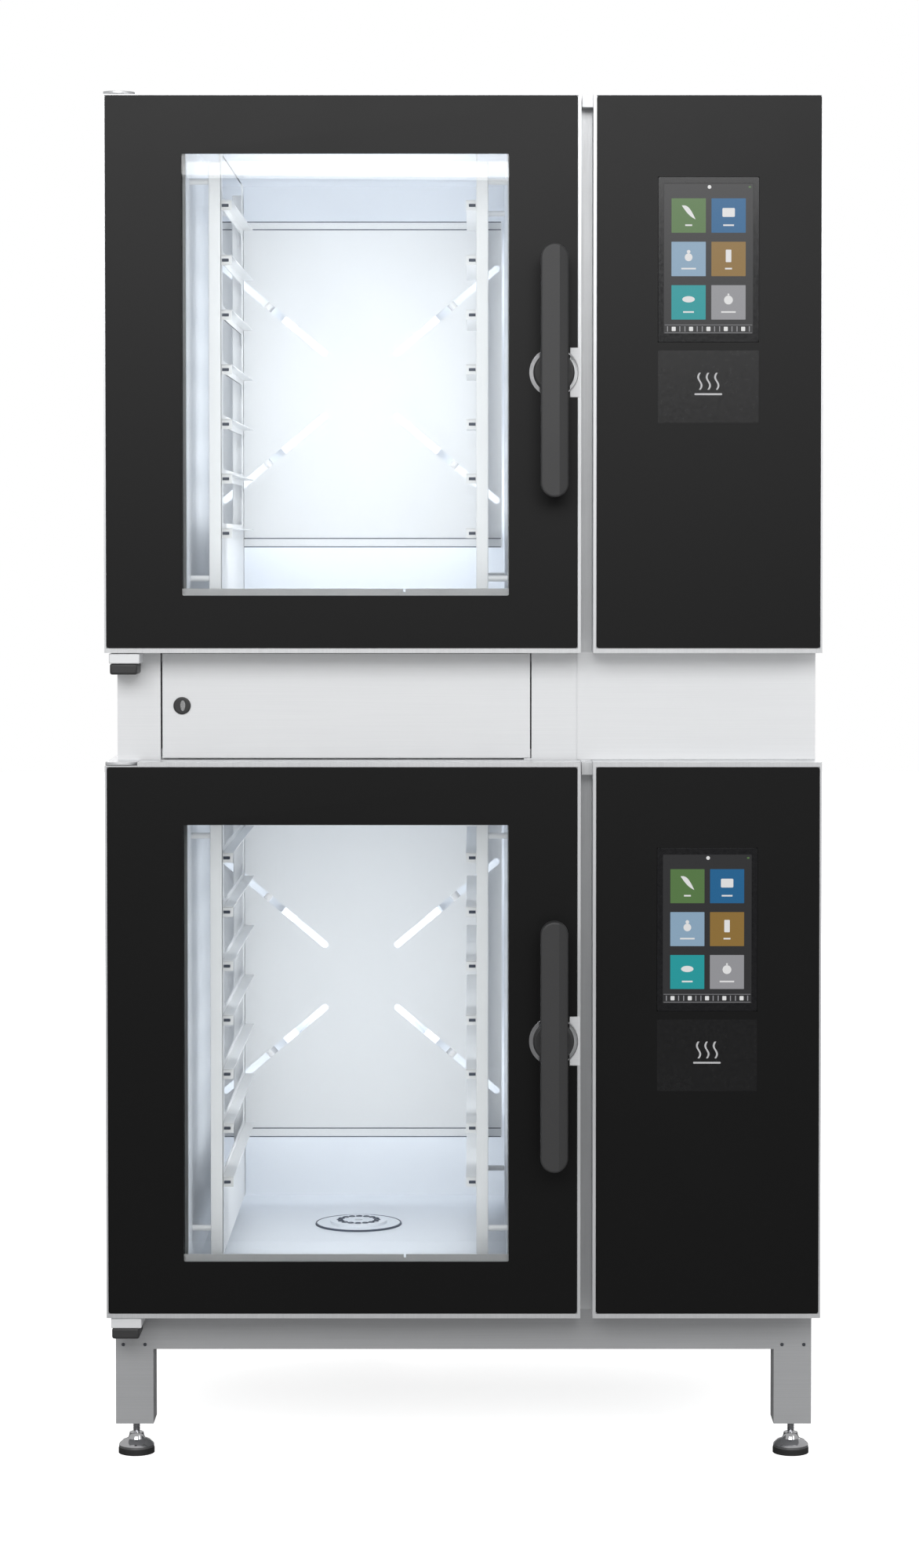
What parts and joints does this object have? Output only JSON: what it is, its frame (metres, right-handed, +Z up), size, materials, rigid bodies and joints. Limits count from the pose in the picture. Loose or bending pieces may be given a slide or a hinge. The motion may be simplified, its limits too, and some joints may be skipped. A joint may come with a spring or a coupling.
{
  "type": "stacked combi steamer oven",
  "caption": "Stack of combi steamer ovens with glass doors and touch panels, a stacking band with an access flap, and a tube stand on levelling feet.",
  "frame": {"origin": "on the floor, under the middle of the whole object's box", "axes": "+X to the viewer's right, -Y the front with the doors, +Z up"},
  "size_m": [0.937, 0.902, 1.803],
  "materials": {
    "stainless": "satin brushed stainless",
    "cavity_steel": "bright stainless",
    "stand_steel": "satin stainless tube",
    "mineral_wool": "matte fibre",
    "seal_rubber": "matte",
    "motor_paint": "satin",
    "heater_tube": "oxidised",
    "window_glass": "clear, with a black printed border on the outer pane",
    "black_glass": "black back-printed glass",
    "handle_plastic": "matte charcoal",
    "pin_steel": "turned",
    "screen": "glossy display",
    "board": "circuit board",
    "brass_fitting": "machined",
    "lock_plastic": "dark",
    "foot_chrome": "polished, on a rubber sole"
  },
  "bodies": {
    "root": {"lower_casing": "stainless", "lower_back_panel": "stainless", "lower_front_frame": "stainless", "lower_cavity_liner": "cavity_steel", "lower_insulation": "mineral_wool", "lower_door_gasket": "seal_rubber", "lower_fan_baffle": "cavity_steel", "lower_fan_motor": "motor_paint", "lower_heater_ring": "heater_tube", "lower_side_racks": "cavity_steel", "lower_drain_grate": "cavity_steel", "lower_latch_keeper": "pin_steel", "lower_hinge_brackets": "stainless", "lower_hinge_pins": "pin_steel", "lower_control_frame": "stainless", "lower_control_glass": "black_glass", "lower_touch_screen": "screen", "lower_control_board": "board", "upper_casing": "stainless", "upper_back_panel": "stainless", "upper_front_frame": "stainless", "upper_cavity_liner": "cavity_steel", "upper_insulation": "mineral_wool", "upper_door_gasket": "seal_rubber", "upper_fan_baffle": "cavity_steel", "upper_fan_motor": "motor_paint", "upper_heater_ring": "heater_tube", "upper_side_racks": "cavity_steel", "upper_drain_grate": "cavity_steel", "upper_latch_keeper": "pin_steel", "upper_hinge_brackets": "stainless", "upper_hinge_pins": "pin_steel", "upper_control_frame": "stainless", "upper_control_glass": "black_glass", "upper_touch_screen": "screen", "upper_control_board": "board", "drain_pipes": "stainless", "water_inlets": "brass_fitting", "band_frame": "stainless", "band_cover": "stainless", "stand_frame": "stand_steel", "stand_legs": "stand_steel"},
    "lower_door": {"lower_door_frame": "stainless", "lower_door_glass": "window_glass", "lower_inner_glass": "window_glass"},
    "lower_handle_set": {"lower_handle": "handle_plastic", "lower_latch_spindle": "pin_steel"},
    "lower_fan": {"lower_fan_wheel": "cavity_steel"},
    "upper_door": {"upper_door_frame": "stainless", "upper_door_glass": "window_glass", "upper_inner_glass": "window_glass"},
    "upper_handle_set": {"upper_handle": "handle_plastic", "upper_latch_spindle": "pin_steel"},
    "upper_fan": {"upper_fan_wheel": "cavity_steel"},
    "flap": {"access_flap": "stainless"},
    "flap_lock_set": {"flap_lock": "lock_plastic"},
    "foot_front_left_set": {"foot_front_left": "foot_chrome"},
    "foot_front_right_set": {"foot_front_right": "foot_chrome"},
    "foot_rear_left_set": {"foot_rear_left": "foot_chrome"},
    "foot_rear_right_set": {"foot_rear_right": "foot_chrome"}
  },
  "joints": [
    {"name": "lower_door_hinge", "type": "hinge", "parent": "root", "child": "lower_door", "pos_m": [-0.45, -0.365, 0.5635], "axis": [0, 0, -1], "range_deg": [0, 120]},
    {"name": "lower_handle_turn", "type": "hinge", "parent": "lower_door", "child": "lower_handle_set", "pos_m": [0.118, -0.4, 0.5635], "axis": [0, 1, 0], "range_deg": [-45, 45]},
    {"name": "lower_fan_spin", "type": "hinge", "parent": "root", "child": "lower_fan", "pos_m": [-0.1535, 0.3, 0.5745], "axis": [0, 1, 0], "continuous": true},
    {"name": "upper_door_hinge", "type": "hinge", "parent": "root", "child": "upper_door", "pos_m": [-0.45, -0.365, 1.4375], "axis": [0, 0, -1], "range_deg": [0, 120]},
    {"name": "upper_handle_turn", "type": "hinge", "parent": "upper_door", "child": "upper_handle_set", "pos_m": [0.118, -0.4, 1.4375], "axis": [0, 1, 0], "range_deg": [-45, 45]},
    {"name": "upper_fan_spin", "type": "hinge", "parent": "root", "child": "upper_fan", "pos_m": [-0.1535, 0.3, 1.4485], "axis": [0, 1, 0], "continuous": true},
    {"name": "flap_hinge", "type": "hinge", "parent": "root", "child": "flap", "pos_m": [0.086, -0.326, 1.0005], "axis": [0, 0, 1], "range_deg": [0, 90]},
    {"name": "flap_lock_turn", "type": "hinge", "parent": "flap", "child": "flap_lock_set", "pos_m": [-0.372, -0.329, 1.0005], "axis": [0, 1, 0], "range_deg": [0, 90]},
    {"name": "foot_front_left_height", "type": "slide", "parent": "root", "child": "foot_front_left_set", "axis": [0, 0, -1], "range_m": [0, 0.03]},
    {"name": "foot_front_right_height", "type": "slide", "parent": "root", "child": "foot_front_right_set", "axis": [0, 0, -1], "range_m": [0, 0.03]},
    {"name": "foot_rear_left_height", "type": "slide", "parent": "root", "child": "foot_rear_left_set", "axis": [0, 0, -1], "range_m": [0, 0.03]},
    {"name": "foot_rear_right_height", "type": "slide", "parent": "root", "child": "foot_rear_right_set", "axis": [0, 0, -1], "range_m": [0, 0.03]}
  ]
}
